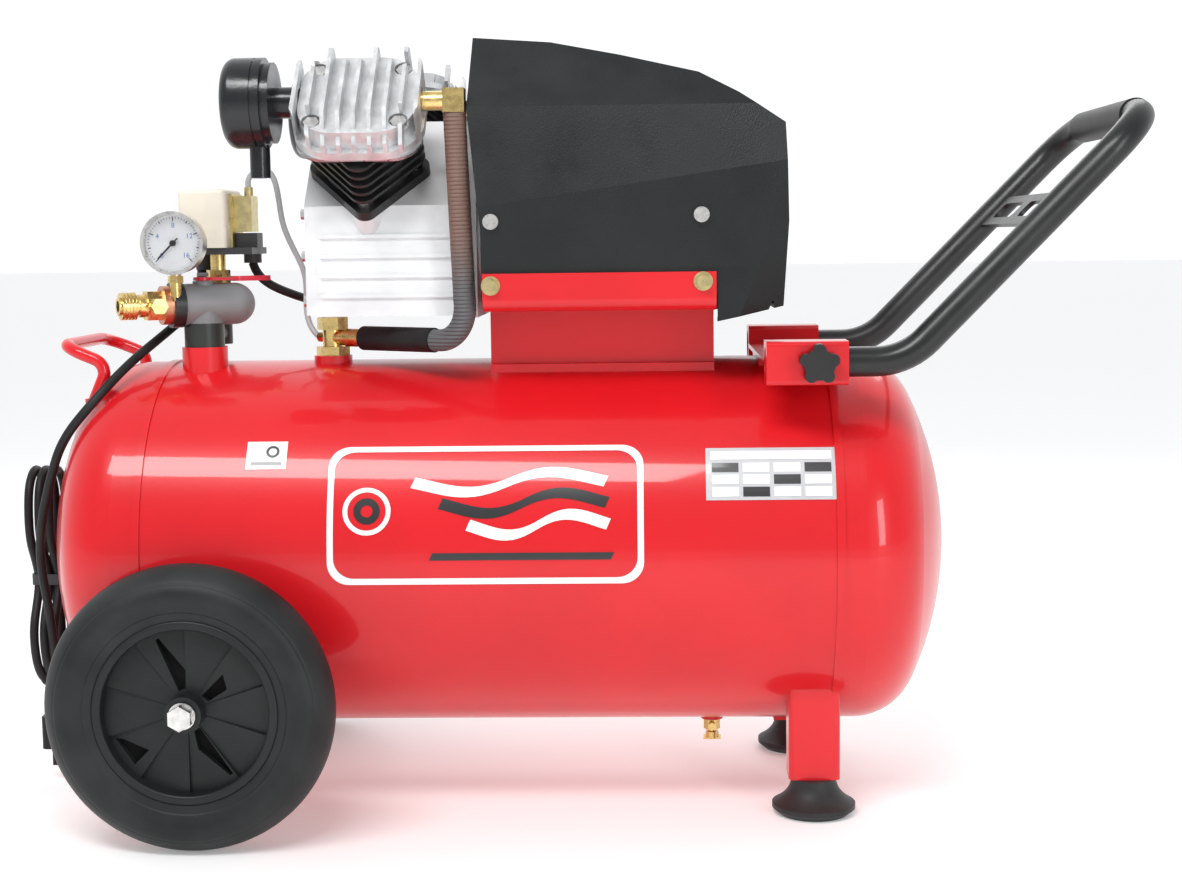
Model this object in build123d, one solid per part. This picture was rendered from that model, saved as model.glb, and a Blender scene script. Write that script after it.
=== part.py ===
"""Horizontal-tank air compressor with a V-twin pump, in millimetres.

X runs along the tank: the wheels are at -X and the push handle at +X.
-Y is the near side, which carries the valves' controls. Z is up and the floor is Z = 0.
The origin is on the floor, in the middle of the machine.
"""
from build123d import *
import math
import os

os.makedirs("parts", exist_ok=True)

# ---- tank ----
TANK_R = 163.0
TANK_Z = 225.0
TANK_LEFT = -476.0
TANK_RIGHT = 314.0
CROWN_R = 1.8 * TANK_R
KNUCKLE_R = 0.34 * TANK_R
HEAD_DEPTH = CROWN_R - math.sqrt((CROWN_R - KNUCKLE_R) ** 2 - (TANK_R - KNUCKLE_R) ** 2)
HEAD_FLANGE = 22.0
TANK_WALL = 3.0
SEAM_LEFT = TANK_LEFT + HEAD_DEPTH + HEAD_FLANGE
SEAM_RIGHT = TANK_RIGHT - HEAD_DEPTH - HEAD_FLANGE
WELD_WIDTH = 7.0
WELD_HEIGHT = 1.6

OUTLET_X, OUTLET_Y = -340.0, -30.0
OUTLET_TOP = 403.0
CHECK_X, CHECK_Y = -229.0, -10.0
CHECK_TOP = 393.0
DRAIN_X = 109.0
DRAIN_BOTTOM = 56.0

# ---- wheels ----
WHEEL_X = -321.0
WHEEL_Y = 202.0
WHEEL_R = 119.0
TYRE_HALF = 26.0
RIM_R = 76.0
DISH_R = 68.0
RIM_HALF = 21.5
AXLE_R = 8.0
RUNNING = 0.05
HUB_INNER = 174.0
HUB_OUTER = 228.0
VANES = 10
VANE_TILT = 5.0

# ---- feet ----
LEG_X = 193.0
FOOT_Y = 104.0
FOOT_R = 35.7
FOOT_TOP = 31.0
LEG_WIDTH = 44.0
LEG_PLATE = 4.0
LEG_FACE = 116.0
LEG_BACK = 84.0

# ---- push handle ----
HANDLE_Y = 138.0
HANDLE_Z = 391.0
SOCKET_LEFT, SOCKET_RIGHT = 150.0, 217.0
SOCKET_HALF = 18.0
HANDLE_R = 12.5
HANDLE_BEND_X = 265.5
HANDLE_TOP_X, HANDLE_TOP_Z = 460.5, 591.0
GRIP_R = 14.0
GRIP_HALF = 92.0
KNOB_X = 192.0

# ---- pump ----
CRANK_Z = 506.0
NEAR_BANK_X = -185.5
ROD_PITCH = 17.0
CASE_LEFT, CASE_RIGHT = -230.0, -92.0
CASE_HALF = 75.0
CASE_BOTTOM = 430.0
SEAT = 66.0
HEAD_BASE = 129.0
HEAD_TOP = 166.0
PLATE_BASE = 126.0
BORE_R = 32.55
PISTON_R = 32.5
CRANK_THROW = 20.0
ROD_LENGTH = 85.0
ROD_WIDTH = 15.0
HEAD_HALF_X = 55.0
HEAD_HALF_Y = 52.0
HEAD_CORNER = 36.0
PLENUM_HALF_X = 49.0
PORT_HEIGHT = 18.0
FINS = 9
FIN_PITCH = 12.8
FIN_THICK = 3.4

# ---- motor and shroud ----
STATOR_R = 66.0
STATOR_BORE = 45.8
ROTOR_R = 45.0
STATOR_LEFT, STATOR_RIGHT = -60.0, 50.0
SHROUD_WALL = 3.0
SHROUD_FOOT_X, SHROUD_CREASE_X, SHROUD_TOP_X = -85.0, -95.5, -93.0
SHROUD_TOP = 665.0
SHROUD_RIGHT = 172.0
TRAY_LEFT, TRAY_RIGHT = -84.0, 111.0
TRAY_HALF = 120.0
TRAY_Z = 434.0
TRAY_TOP = 466.0
SHEET = 3.0
CHANNEL_HALF = 45.0

# ---- valve train ----
TRAIN_Z = 440.5
TRAIN_YAW = 30.0
SWITCH_Y = 14.0
AIR_BORE_R = 5.0
GAUGE_X, GAUGE_Y, GAUGE_Z = -357.6, -56.0, 494.7
GAUGE_R = 27.5

# ---- power cord ----
CORD_R = 4.0

NEAR, FAR = -1, 1
COS45 = math.sqrt(0.5)


def save(name, shape):
    """Write one node; several separate pieces become one compound."""
    shape.label = name
    export_step(shape, f"parts/{name}.step")


def group(*shapes):
    """Separate pieces that share one node."""
    return Compound(children=[solid for shape in shapes for solid in shape.solids()])


def block(x0, x1, y0, y1, z0, z1):
    """Box between two corners."""
    centre = Pos((x0 + x1) / 2, (y0 + y1) / 2, (z0 + z1) / 2)
    return centre * Box(abs(x1 - x0), abs(y1 - y0), abs(z1 - z0))


def rod(start, end, radius, inner=0.0):
    """Round bar, or a pipe, between two points."""
    start, end = Vector(start), Vector(end)
    plane = Plane(origin=start, z_dir=end - start)
    length = (end - start).length
    low = (Align.CENTER, Align.CENTER, Align.MIN)
    bar = plane * Cylinder(radius, length, align=low)
    if inner:
        bar -= plane * Cylinder(inner, length, align=low)
    return bar


def hex_bar(start, end, flats):
    """Hexagonal bar between two points, by its width across flats."""
    start, end = Vector(start), Vector(end)
    plane = Plane(origin=start, z_dir=end - start)
    return extrude(plane * RegularPolygon(flats / math.sqrt(3), 6), (end - start).length)


def bent_tube(points, radii, radius, inner=0.0):
    """Tube swept along straight runs joined by tangent arcs."""
    path = FilletPolyline(*points, radius=radii)
    start = Plane(origin=path @ 0, z_dir=path % 0)
    tube = sweep(start * Circle(radius), path=path)
    if inner:
        tube -= sweep(start * Circle(inner), path=path)
    return tube


def smooth_tube(points, radius):
    """Tube swept along a smooth curve through the points."""
    path = Spline(*points)
    return sweep(Plane(origin=path @ 0, z_dir=path % 0) * Circle(radius), path=path)


def prism_x(points, x0, x1):
    """Outline in Y and Z, extruded along X."""
    outline = Plane.YZ.offset(x0) * make_face(Polyline(*points, close=True))
    return extrude(outline, x1 - x0)


def prism_y(points, half):
    """Outline in X and Z, extruded both ways along Y."""
    outline = Plane.XZ * make_face(Polyline(*points, close=True))
    return extrude(outline, half, both=True)


def other_side(shape):
    """The same part on the far side."""
    return mirror(shape, about=Plane.XZ)


# ================= tank =================

def dome(end, inward, inset):
    """Dished end, filled: a spherical crown that meets the tank's wall in a knuckle."""
    radius, depth = TANK_R - inset, HEAD_DEPTH - inset
    crown, knuckle = CROWN_R - inset, KNUCKLE_R - inset
    crown_x, knuckle_z = depth - crown, radius - knuckle
    turn = math.atan2(knuckle_z, -crown_x)

    def on_arc(x, z, arc_radius, angle):
        return (x + arc_radius * math.cos(angle), z + arc_radius * math.sin(angle))

    meet = on_arc(crown_x, 0, crown, turn)
    middle = on_arc(0, knuckle_z, knuckle, (turn + math.pi / 2) / 2)
    outline = ThreePointArc((0, radius), middle, meet)
    outline += ThreePointArc(meet, on_arc(crown_x, 0, crown, turn / 2), (depth, 0))
    outline += Polyline((depth, 0), (0, 0), (0, radius))
    solid = revolve(Plane.XZ * make_face(outline), Axis.X)
    if inward > 0:
        solid = mirror(solid, about=Plane.YZ)
    return Pos(end + inward * HEAD_DEPTH, 0, TANK_Z) * solid


def tank_axis_bar(x0, x1, radius, inner=0.0):
    return rod((x0, 0, TANK_Z), (x1, 0, TANK_Z), radius, inner)


def weld_beads(inner):
    """Raised weld where each dished end meets the shell."""
    half, radius = WELD_WIDTH / 2, TANK_R + WELD_HEIGHT
    left = tank_axis_bar(SEAM_LEFT - half, SEAM_LEFT + half, radius, inner)
    return left + tank_axis_bar(SEAM_RIGHT - half, SEAM_RIGHT + half, radius, inner)


def tank_solid():
    """The tank's outer shape, filled, for trimming what is welded to it."""
    straight = tank_axis_bar(TANK_LEFT + HEAD_DEPTH, TANK_RIGHT - HEAD_DEPTH, TANK_R)
    return straight + weld_beads(0) + dome(TANK_LEFT, 1, 0) + dome(TANK_RIGHT, -1, 0)


def tank_head(end, inward):
    flange_start = end + inward * HEAD_DEPTH
    flange_end = flange_start + inward * HEAD_FLANGE
    shell = dome(end, inward, 0) - dome(end, inward, TANK_WALL)
    return shell + tank_axis_bar(flange_start, flange_end, TANK_R, TANK_R - TANK_WALL)


def tank_shell():
    shell = tank_axis_bar(SEAM_LEFT, SEAM_RIGHT, TANK_R, TANK_R - TANK_WALL) + weld_beads(TANK_R)
    for x, y in ((OUTLET_X, OUTLET_Y), (CHECK_X, CHECK_Y)):
        shell -= rod((x, y, TANK_Z), (x, y, TANK_Z + 2 * TANK_R), 8)
    return shell - rod((DRAIN_X, 0, TANK_Z), (DRAIN_X, 0, 0), 4)


TANK = tank_solid()


def tank_bosses():
    outlet = rod((OUTLET_X, OUTLET_Y, 375), (OUTLET_X, OUTLET_Y, OUTLET_TOP), 20, 10)
    check = rod((CHECK_X, CHECK_Y, 375), (CHECK_X, CHECK_Y, CHECK_TOP), 17, 9)
    drain = rod((DRAIN_X, 0, 70), (DRAIN_X, 0, DRAIN_BOTTOM), 10, 4)
    return (outlet - TANK) + (check - TANK) + (drain - TANK)


def end_handle():
    half = 68.0
    foot, knee, bar = (-436, 344), (-416, 390), (-457, 407)
    side = [foot, knee, bar]
    points = [(x, -half, z) for x, z in side]
    points += [(x, half, z) for x, z in reversed(side)]
    loop = bent_tube(points, [13, 22, 22, 13], 5.5)
    pads = group(*[rod((-427, y, 350), (-429, y, 362), 9) for y in (-half, half)])
    return (loop + pads) - TANK


# ================= motor saddle =================

def motor_saddle():
    """Open tray on a channel whose lower edges are welded to the tank."""
    outer = block(TRAY_LEFT, TRAY_RIGHT, -TRAY_HALF, TRAY_HALF, TRAY_Z, TRAY_TOP)
    inner_half = TRAY_HALF - SHEET
    inner = block(TRAY_LEFT - 1, TRAY_RIGHT + 1, -inner_half, inner_half, TRAY_Z + SHEET, TRAY_TOP + 1)
    bottom_edges = outer.edges().filter_by(Axis.X).sort_by(Axis.Z)[:2]
    outer = fillet(bottom_edges, 10)
    inner_edges = inner.edges().filter_by(Axis.X).sort_by(Axis.Z)[:2]
    tray = outer - fillet(inner_edges, 7)
    walls = block(TRAY_LEFT, TRAY_RIGHT, -CHANNEL_HALF, CHANNEL_HALF, 375, TRAY_Z)
    slot_half = CHANNEL_HALF - SHEET
    walls -= block(TRAY_LEFT - 1, TRAY_RIGHT + 1, -slot_half, slot_half, 370, TRAY_Z)
    feet = block(TRAY_LEFT, TRAY_RIGHT, -CHANNEL_HALF - 9, CHANNEL_HALF + 9, 370, 386)
    feet -= block(TRAY_LEFT - 1, TRAY_RIGHT + 1, -slot_half, slot_half, 370, 387)
    return (tray + walls + feet) - TANK - saddle_bolts()


def saddle_bolts():
    """Flanged bolts that hold the shroud's lower edge in the tray."""
    pieces = []
    for x, z in ((-77, 456), (100, 458)):
        for side in (NEAR, FAR):
            face = side * TRAY_HALF
            bolt = hex_bar((x, face, z), (x, face + side * 6, z), 10)
            bolt += rod((x, face, z), (x, face + side * 1.6, z), 8)
            bolt += rod((x, face, z), (x, side * 108, z), 3)
            pieces.append(bolt)
    return group(*pieces)


# ================= wheels and feet =================

def wheel_bracket(side):
    """Box bracket welded to the tank's flank, with an end plate for the axle."""
    outer = block(WHEEL_X - 24, WHEEL_X + 24, 100 * side, 168 * side, 96, 142)
    hollow = block(WHEEL_X - 20, WHEEL_X + 20, 90 * side, 163 * side, 100, 150)
    bracket = outer - hollow - TANK
    return bracket - rod((WHEEL_X, 0, WHEEL_R), (WHEEL_X, side * 300, WHEEL_R), AXLE_R)


def axle(side):
    """Shoulder bolt: head outside the hub, nut inside the bracket's end plate."""
    pin = rod((WHEEL_X, 150 * side, WHEEL_R), (WHEEL_X, 236 * side, WHEEL_R), AXLE_R)
    head = hex_bar((WHEEL_X, 230 * side, WHEEL_R), (WHEEL_X, 240 * side, WHEEL_R), 18)
    washer = rod((WHEEL_X, 229 * side, WHEEL_R), (WHEEL_X, 231 * side, WHEEL_R), 11)
    nut = hex_bar((WHEEL_X, 152 * side, WHEEL_R), (WHEEL_X, 163 * side, WHEEL_R), 24)
    spacer = rod((WHEEL_X, 168 * side, WHEEL_R), (WHEEL_X, 172 * side, WHEEL_R), 12)
    return pin + head + washer + nut + spacer


def tyre():
    """Smooth solid tyre, centred on its own axis along Y."""
    bead, mid, shoulder = RIM_R + 6, (RIM_R + WHEEL_R) / 2, WHEEL_R - 8
    inner = Polyline((RIM_R, -20), (RIM_R, 20))
    flank = [(RIM_R, 20), (bead, TYRE_HALF - 4), (mid, TYRE_HALF), (shoulder, TYRE_HALF - 8)]
    crown = Spline(*flank, (WHEEL_R, 0), *[(x, -y) for x, y in reversed(flank)])
    solid = revolve(Plane.XY * make_face(inner + crown), Axis.Y)
    return solid - rod((0, -40, 0), (0, 40, 0), RIM_R)


def clock_point(hour, radius, aside=0.0):
    """Point on the wheel's face: direction as on a clock, and a step aside clockwise."""
    angle = math.radians(30 * hour)
    x = radius * math.sin(angle) + aside * math.cos(angle)
    return (x, radius * math.cos(angle) - aside * math.sin(angle))


def hub_pockets():
    """Deep wedges sunk into the disc: two long, one short, and one along the rim."""
    long_wedge = [(17, 0), (DISH_R - 5, 0), (DISH_R - 5, 3), (31, 12), (17, 6)]
    short_wedge = [(17, 0), (42, 0), (35, 11), (17, 7)]
    rim_wedge = [(46, 0), (DISH_R - 5, 0), (DISH_R - 9, 26), (DISH_R - 13, 22)]
    cuts = []
    for hour, outline in ((11.25, long_wedge), (4.85, long_wedge), (1.5, short_wedge), (7.5, rim_wedge)):
        points = [clock_point(hour, radius, aside) for radius, aside in outline]
        cuts.append(Pos(0, -16, 0) * prism_y(points, 14))
    return group(*cuts)


def wheel_hub():
    """Moulded disc sunk in its rim, with a fan of slightly tilted vanes; outer face at -Y."""
    rim = rod((0, -RIM_HALF, 0), (0, RIM_HALF, 0), RIM_R, DISH_R)
    rim = fillet(rim.edges().filter_by(GeomType.CIRCLE).group_by(Axis.Y)[0], 2.5)
    hub = rim + rod((0, -5, 0), (0, 3, 0), DISH_R + 1)
    reach = DISH_R * math.tan(math.pi / VANES)
    for i in range(VANES):
        pie = prism_y([(0, 0), (DISH_R, -reach), (DISH_R, reach)], 30)
        slope = Pos(DISH_R / 2, -5, 0) * Rot(VANE_TILT, 0, 0) * Box(DISH_R, 8, DISH_R)
        hub += Rot(0, i * 360 / VANES, 0) * (pie & slope)
    hub -= hub_pockets()
    hub += rod((0, WHEEL_Y - HUB_OUTER, 0), (0, WHEEL_Y - HUB_INNER, 0), 15)
    return hub - rod((0, -60, 0), (0, 60, 0), AXLE_R + RUNNING)


def placed_wheel(shape, side):
    wheel = Pos(WHEEL_X, -WHEEL_Y, WHEEL_R) * shape
    return wheel if side == NEAR else other_side(wheel)


def leg_bracket():
    """Near leg: a folded channel from the tank's flank down to a plate on the foot."""
    left, right = LEG_X - LEG_WIDTH / 2, LEG_X + LEG_WIDTH / 2
    channel = block(left, right, -LEG_FACE, -LEG_BACK, FOOT_TOP, 130)
    corners = channel.edges().filter_by(Axis.Z).sort_by(Axis.Y)[:2]
    channel = fillet(corners, 5)
    channel -= block(left + LEG_PLATE, right - LEG_PLATE, LEG_PLATE - LEG_FACE, 0, FOOT_TOP + LEG_PLATE, 140)
    return channel - TANK - foot_bolt()


def foot():
    """Rubber bell under the near leg, with a recess for the bolt head."""
    outline = Polyline((0, 0), (FOOT_R - 6, 0), (FOOT_R, 5), (FOOT_R, 9))
    flank = Spline((FOOT_R, 9), (27, 15), (21, 23), (19.5, FOOT_TOP))
    close = Polyline((19.5, FOOT_TOP), (0, FOOT_TOP), (0, 0))
    bell = revolve(Plane.XZ * make_face(outline + flank + close), Axis.Z)
    return (Pos(LEG_X, -FOOT_Y, 0) * bell) - foot_bolt()


def foot_bolt():
    """Bolt up through the near foot; its nut sits on the leg's plate."""
    x, y = LEG_X, -FOOT_Y + 4
    nut_base = FOOT_TOP + LEG_PLATE
    bolt = rod((x, y, 5), (x, y, nut_base + 11), 4) + rod((x, y, 5), (x, y, 10), 8)
    return bolt + hex_bar((x, y, nut_base), (x, y, nut_base + 7), 13)


# ================= push handle =================

def handle_plate():
    """Cross plate on the tank's top that carries both sockets."""
    inner = HANDLE_Y - SOCKET_HALF
    plate = block(SOCKET_LEFT, SOCKET_RIGHT, -inner, inner, 388, 392)
    pad = block(SOCKET_LEFT, SOCKET_RIGHT, -44, 44, 378, 388)
    return (plate + pad) - TANK


def handle_socket(side):
    y0, y1 = side * (HANDLE_Y - SOCKET_HALF), side * (HANDLE_Y + SOCKET_HALF)
    low, high = HANDLE_Z - SOCKET_HALF, HANDLE_Z + SOCKET_HALF
    box_tube = block(SOCKET_LEFT, SOCKET_RIGHT, y0, y1, low, high)
    box_tube = fillet(box_tube.edges().filter_by(Axis.X), 4)
    bore_y = side * HANDLE_Y
    box_tube -= rod((100, bore_y, HANDLE_Z), (300, bore_y, HANDLE_Z), HANDLE_R + 0.35)
    hole = rod((KNOB_X, bore_y, HANDLE_Z), (KNOB_X, side * 200, HANDLE_Z), 4 + RUNNING)
    return box_tube - hole


def handle_points():
    side = [(155, HANDLE_Z), (HANDLE_BEND_X, HANDLE_Z), (HANDLE_TOP_X, HANDLE_TOP_Z)]
    near = [(x, -HANDLE_Y, z) for x, z in side]
    far = [(x, HANDLE_Y, z) for x, z in reversed(side)]
    return near + far


def handle_tube():
    return bent_tube(handle_points(), [60, 44, 44, 60], HANDLE_R, HANDLE_R - 2)


def handle_brace():
    """Slotted plate welded between the handle's legs."""
    slope = math.degrees(math.atan2(HANDLE_TOP_Z - HANDLE_Z, HANDLE_TOP_X - HANDLE_BEND_X))
    plate = Box(36, 2 * HANDLE_Y - 8, 4)
    for y in (-57, 57):
        plate -= Pos(0, y, 0) * extrude(RectangleRounded(18, 88, 8), 6, both=True)
    placed = Pos(385.5, 0, 514) * Rot(0, -slope, 0) * plate
    legs = bent_tube(handle_points(), [60, 44, 44, 60], HANDLE_R)
    return placed - legs


def handle_grip():
    ends = (HANDLE_TOP_X, -GRIP_HALF, HANDLE_TOP_Z), (HANDLE_TOP_X, GRIP_HALF, HANDLE_TOP_Z)
    return rod(ends[0], ends[1], GRIP_R, HANDLE_R)


def clamp_knob(side):
    """Five-lobed knob on a threaded stud that bears on the handle tube."""
    face = HANDLE_Y + SOCKET_HALF
    tube_side = HANDLE_Y + HANDLE_R + 0.4
    stud = rod((KNOB_X, side * tube_side, HANDLE_Z), (KNOB_X, side * (face + 6), HANDLE_Z), 4)
    start, end = side * (face + 0.5), side * (face + 18)
    body = rod((KNOB_X, start, HANDLE_Z), (KNOB_X, end, HANDLE_Z), 12.5)
    for i in range(5):
        angle = math.radians(90 + 72 * i)
        x, z = KNOB_X + 11.5 * math.cos(angle), HANDLE_Z + 11.5 * math.sin(angle)
        body += rod((x, side * (face + 3), z), (x, end, z), 5.2)
    return body + stud


# ================= pump =================

def bank(x):
    """Frame of the near cylinder bank: local Z leads away from the crankshaft."""
    return Plane(origin=(x, 0, CRANK_Z), x_dir=(1, 0, 0), z_dir=(0, -COS45, COS45))


def near_bank(shape):
    return bank(NEAR_BANK_X) * shape


def far_bank(shape):
    """The far bank is the mirror image, one connecting rod further along the crankpin."""
    return Pos(ROD_PITCH, 0, 0) * other_side(near_bank(shape))


def slab(width, depth, corner, z0, z1):
    """Plate with rounded corners, square to a bank's axis."""
    return extrude(Pos(0, 0, z0) * RectangleRounded(width, depth, corner), z1 - z0)


def diamond(shrink, corner, z0, z1):
    """Diamond plate with rounded tips, square to a bank's axis."""
    half_x, half_y = DIAMOND_X - shrink, DIAMOND_Y - shrink
    outline = make_face(Polyline((half_x, 0), (0, half_y), (-half_x, 0), (0, -half_y), close=True))
    outline = fillet(outline.vertices(), corner)
    return extrude(Pos(0, 0, z0) * outline, z1 - z0)


def ring(radius, inner, z0, z1):
    return rod((0, 0, z0), (0, 0, z1), radius, inner)


def case_outline(inset):
    """Five-sided crankcase section, in Y and Z, with a roof square to each bank."""
    half, low = CASE_HALF - inset, CASE_BOTTOM + inset
    apex = CRANK_Z + (SEAT - inset) / COS45
    shoulder = apex - half
    return [(-half, low), (half, low), (half, shoulder), (0, apex), (-half, shoulder)]


BASE_BOLTS = [(0, -46), (39, 0), (0, 46), (-39, 0)]
DIAMOND_X, DIAMOND_Y = 55.0, 64.0
HEAD_BOLTS = [(-36, -32), (36, -32), (36, 32), (-36, 32)]


def base_bolts():
    """Four bolts through a cylinder's diamond flange."""
    bolts = []
    for x, y in BASE_BOLTS:
        shank = rod((x, y, SEAT - 9), (x, y, SEAT + 11), 3.5)
        bolts.append(shank + hex_bar((x, y, SEAT + 9), (x, y, SEAT + 15), 12))
    return group(*bolts)


def head_bolts():
    """Four long bolts down through the head and the valve plate."""
    bolts = []
    for x, y in HEAD_BOLTS:
        shank = rod((x, y, PLATE_BASE - 6), (x, y, 150), 3.5)
        bolts.append(shank + hex_bar((x, y, 148), (x, y, 154), 12))
    return group(*bolts)


def cylinder():
    """Finned barrel with a diamond base flange and a square top flange."""
    barrel = ring(38, 0, SEAT, PLATE_BASE)
    barrel += diamond(0, 10, SEAT, SEAT + 9)
    for i in range(5):
        level = SEAT + 17 + 9 * i
        barrel += diamond(2, 12, level, level + 3)
    barrel += slab(98, 92, 24, PLATE_BASE - 5, PLATE_BASE)
    return barrel - ring(BORE_R, 0, SEAT - 1, PLATE_BASE + 1) - base_bolts() - head_bolts()


def valve_plate():
    return slab(106, 100, 24, PLATE_BASE, HEAD_BASE) - head_bolts()


def cylinder_head():
    """Cast head: plenum block with tall fins and pockets for its bolts."""
    block_part = slab(2 * HEAD_HALF_X, 2 * HEAD_HALF_Y, HEAD_CORNER, HEAD_BASE, HEAD_BASE + 8)
    block_part += slab(2 * PLENUM_HALF_X, 2 * HEAD_HALF_Y - 10, HEAD_CORNER - 4, HEAD_BASE, HEAD_BASE + 26)
    envelope = slab(2 * HEAD_HALF_X, 2 * HEAD_HALF_Y, HEAD_CORNER, HEAD_BASE, HEAD_TOP)
    low, high, cut = HEAD_BASE + 8, HEAD_TOP, 20
    outline = [(-HEAD_HALF_Y, low), (-HEAD_HALF_Y, high - cut), (cut - HEAD_HALF_Y, high),
               (HEAD_HALF_Y - cut, high), (HEAD_HALF_Y, high - cut), (HEAD_HALF_Y, low)]
    spiked = outline[:3] + [(HEAD_HALF_Y - 6, high + 1), (HEAD_HALF_Y, high - 6), (HEAD_HALF_Y, low)]
    for i in range(FINS):
        x = (i - (FINS - 1) / 2) * FIN_PITCH
        fin = prism_x(spiked if i in (2, 5, 7) else outline, x - FIN_THICK / 2, x + FIN_THICK / 2)
        if i not in (2, 5, 7):
            fin = fin & envelope
        block_part += fin
    for x, y in HEAD_BOLTS:
        block_part -= rod((x, y, 148), (x, y, HEAD_TOP + 5), 8)
    for x in (-HEAD_HALF_X - 1, HEAD_HALF_X + 1):
        port = HEAD_BASE + PORT_HEIGHT
        block_part -= rod((x, 0, port), (math.copysign(PLENUM_HALF_X, x), 0, port), 12)
    return block_part - head_bolts() - slab(70, 60, 14, HEAD_BASE, HEAD_BASE + 14)


def crankcase():
    """Casting with a roof for both banks, side ribs, and a bell that meets the motor."""
    case = prism_x(case_outline(0), CASE_LEFT, CASE_RIGHT)
    case += prism_x(case_outline(-2), CASE_RIGHT - 12, CASE_RIGHT)
    tips = rod((0, -46, SEAT - 30), (0, -46, SEAT), 12)
    case += near_bank(tips) + far_bank(tips)
    for z in (446, 463, 480, 497):
        case += block(CASE_LEFT + 3, CASE_RIGHT - 12, -CASE_HALF - 2.5, CASE_HALF + 2.5, z, z + 3)
    case -= prism_x(case_outline(7), CASE_LEFT - 1, -124)
    for seat in (near_bank(ring(33, 0, 20, SEAT + 1)), far_bank(ring(33, 0, 20, SEAT + 1))):
        case -= seat
    case -= rod((-119, 0, CRANK_Z), (-103, 0, CRANK_Z), 31)
    case -= rod((-130, 0, CRANK_Z), (CASE_RIGHT + 1, 0, CRANK_Z), 20)
    case += rod((CASE_RIGHT, 0, CRANK_Z), (STATOR_LEFT, 0, CRANK_Z), STATOR_R, STATOR_R - 4)
    return case - near_bank(base_bolts()) - far_bank(base_bolts()) - cover_bolts()


COVER_BOLTS = [(-62, 443), (0, 441), (62, 443), (-66, 482), (66, 482), (-66, 518), (66, 518), (0, 586)]


def cover_bolts():
    bolts = []
    for y, z in COVER_BOLTS:
        shank = rod((CASE_LEFT + 7, y, z), (CASE_LEFT - 10, y, z), 2.5)
        bolts.append(shank + hex_bar((CASE_LEFT - 10, y, z), (CASE_LEFT - 14, y, z), 8))
    return group(*bolts)


def crankcase_cover():
    """End cover with the left bearing's housing."""
    cover = prism_x(case_outline(1), CASE_LEFT - 10, CASE_LEFT)
    cover += rod((CASE_LEFT - 15, 0, CRANK_Z), (CASE_LEFT - 10, 0, CRANK_Z), 34)
    cover += rod((CASE_LEFT, 0, CRANK_Z), (CASE_LEFT + 8, 0, CRANK_Z), 33)
    cover -= rod((CASE_LEFT - 8, 0, CRANK_Z), (CASE_LEFT + 9, 0, CRANK_Z), 26)
    return cover - cover_bolts()


def shaft_bearings():
    rings = [(CASE_LEFT - 8, CASE_LEFT + 7, 26, 12.5), (-119, -103, 31, 15), (78, 90, 17, 10)]
    return group(*[x_ring(a, b, r, i) for a, b, r, i in rings])


def crankshaft():
    """Throw points along the near bank, which holds that piston at top dead centre."""
    journals = [(-236, -206, 12.5 - RUNNING), (-148, -100, 15 - RUNNING), (60, 132, 10 - RUNNING)]
    pin_y, pin_z = -CRANK_THROW * COS45, CRANK_Z + CRANK_THROW * COS45
    solid = rod((-206, pin_y, pin_z), (-148, pin_y, pin_z), 9 - RUNNING)
    for x in (-206, -157):
        solid += rod((x, 0, CRANK_Z), (x + 9, 0, CRANK_Z), 36)
    for x0, x1, radius in [*journals, (-100, 60, 15)]:
        solid += rod((x0, 0, CRANK_Z), (x1, 0, CRANK_Z), radius)
    return solid


def rod_and_ends():
    """Connecting rod along its own bank: big end on the crankpin, open small end above."""
    half = ROD_WIDTH / 2
    small = CRANK_THROW + ROD_LENGTH
    shank = block(-5, 5, -6, 6, CRANK_THROW + 8, small - 4)
    big = rod((-half, 0, CRANK_THROW), (half, 0, CRANK_THROW), 15)
    eye = rod((-half, 0, small), (half, 0, small), 7.5)
    solid = shank + big + eye - rod((-half, 0, CRANK_THROW), (half, 0, CRANK_THROW), 9)
    return solid - rod((-half, 0, small), (half, 0, small), 4.5)


def con_rods():
    """Both rods share the crankpin, side by side, each parallel to its own bank."""
    near = near_bank(rod_and_ends())
    pin_up = CRANK_THROW * COS45
    far = Pos(ROD_PITCH, -2 * pin_up, 0) * other_side(near)
    return group(near, far)


def piston():
    """Hollow piston with a wrist-pin half in each boss; its middle is open for the rod."""
    top = PLATE_BASE - 1
    pin = CRANK_THROW + ROD_LENGTH
    body = ring(PISTON_R, 29, top - 40, top) + ring(PISTON_R, 0, top - 12, top)
    for side in (-1, 1):
        boss = rod((side * 9.5, 0, pin), (side * 31, 0, pin), 8) & ring(30, 0, 0, 200)
        body += boss
    for level in (top - 4, top - 8):
        body -= ring(PISTON_R, PISTON_R - 1.5, level, level + 1.8)
    return body


# ================= motor and shroud =================

def x_ring(x0, x1, radius, inner):
    return rod((x0, 0, CRANK_Z), (x1, 0, CRANK_Z), radius, inner)


def motor_stator():
    """Laminated ring with a winding overhang at each end."""
    stator = x_ring(STATOR_LEFT, STATOR_RIGHT, STATOR_R, STATOR_BORE)
    stator += x_ring(STATOR_LEFT - 18, STATOR_LEFT, 60, 47)
    return stator + x_ring(STATOR_RIGHT, STATOR_RIGHT + 18, 60, 47)


def motor_rotor():
    rotor = x_ring(-55, 45, ROTOR_R, 15)
    return rotor + x_ring(-62, -55, ROTOR_R - 3, 24) + x_ring(45, 52, ROTOR_R - 3, 24)


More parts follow.
